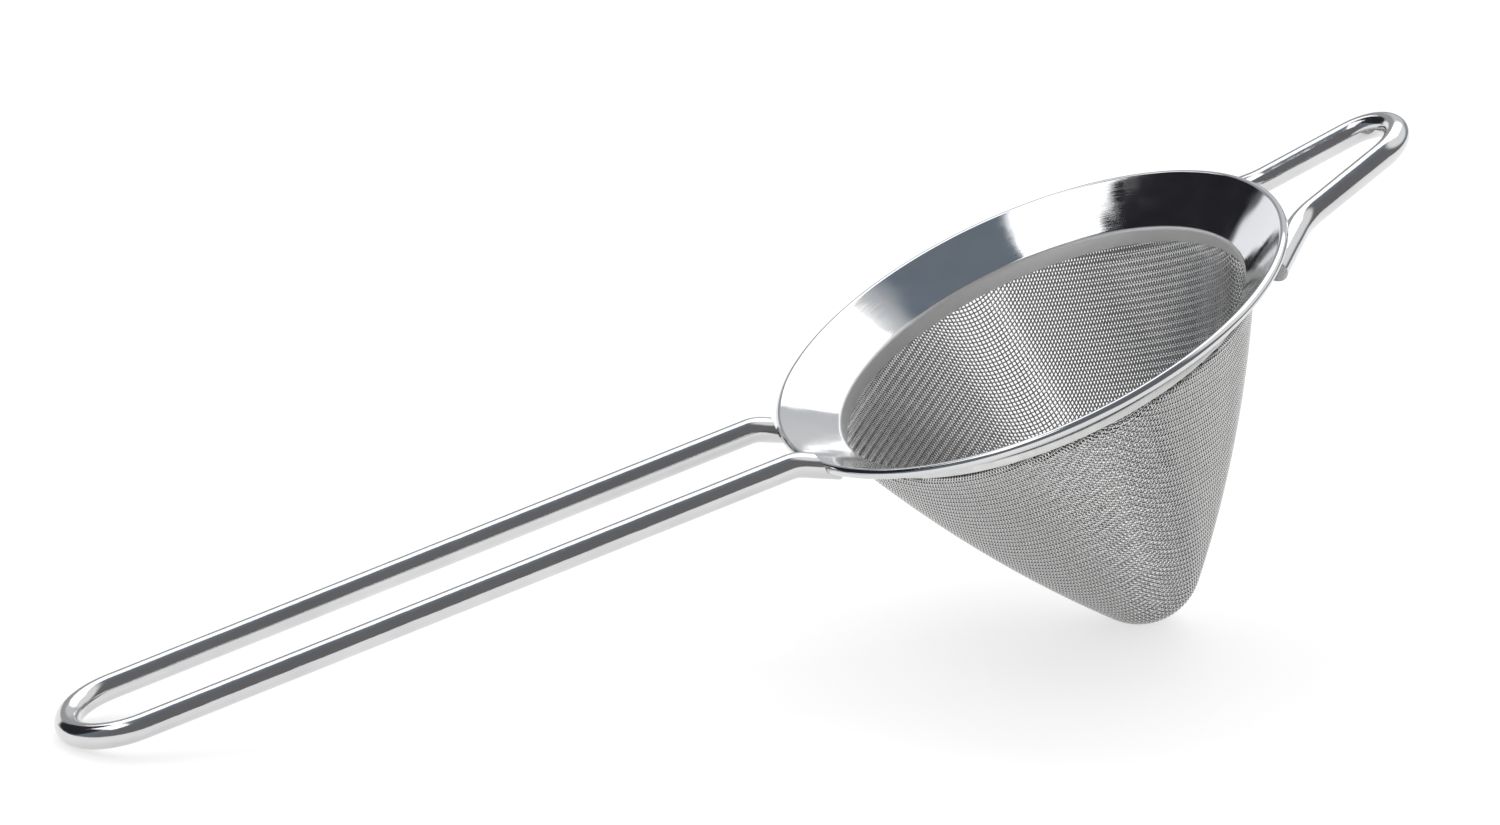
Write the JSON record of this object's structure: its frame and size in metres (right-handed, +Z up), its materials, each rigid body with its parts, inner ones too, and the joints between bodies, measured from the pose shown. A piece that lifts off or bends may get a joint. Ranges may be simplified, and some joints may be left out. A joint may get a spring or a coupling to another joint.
{
  "type": "tea strainer",
  "caption": "Conical fine-mesh tea strainer with a polished flanged rim, a long hairpin wire handle and a short rest loop, lying on a table.",
  "frame": {"origin": "on the table under the middle of the whole strainer, as it lies on its handle's end and the tip of its cone", "axes": "+X from the handle's end towards the rest loop, +Z up, the rim's plane leaning down towards the handle"},
  "size_m": [0.235, 0.0916, 0.0845],
  "materials": {
    "polished_rim": "mirror-polished stainless steel with faint circular polishing lines",
    "ring_steel": "satin stainless steel strip",
    "woven_mesh": "bright drawn stainless wire in a plain weave",
    "polished_wire": "polished stainless steel wire"
  },
  "bodies": {
    "root": {"rim_flange": "polished_rim", "clamp_ring": "ring_steel", "mesh_cone": "woven_mesh", "handle_wire": "polished_wire", "rest_loop": "polished_wire"}
  },
  "joints": []
}
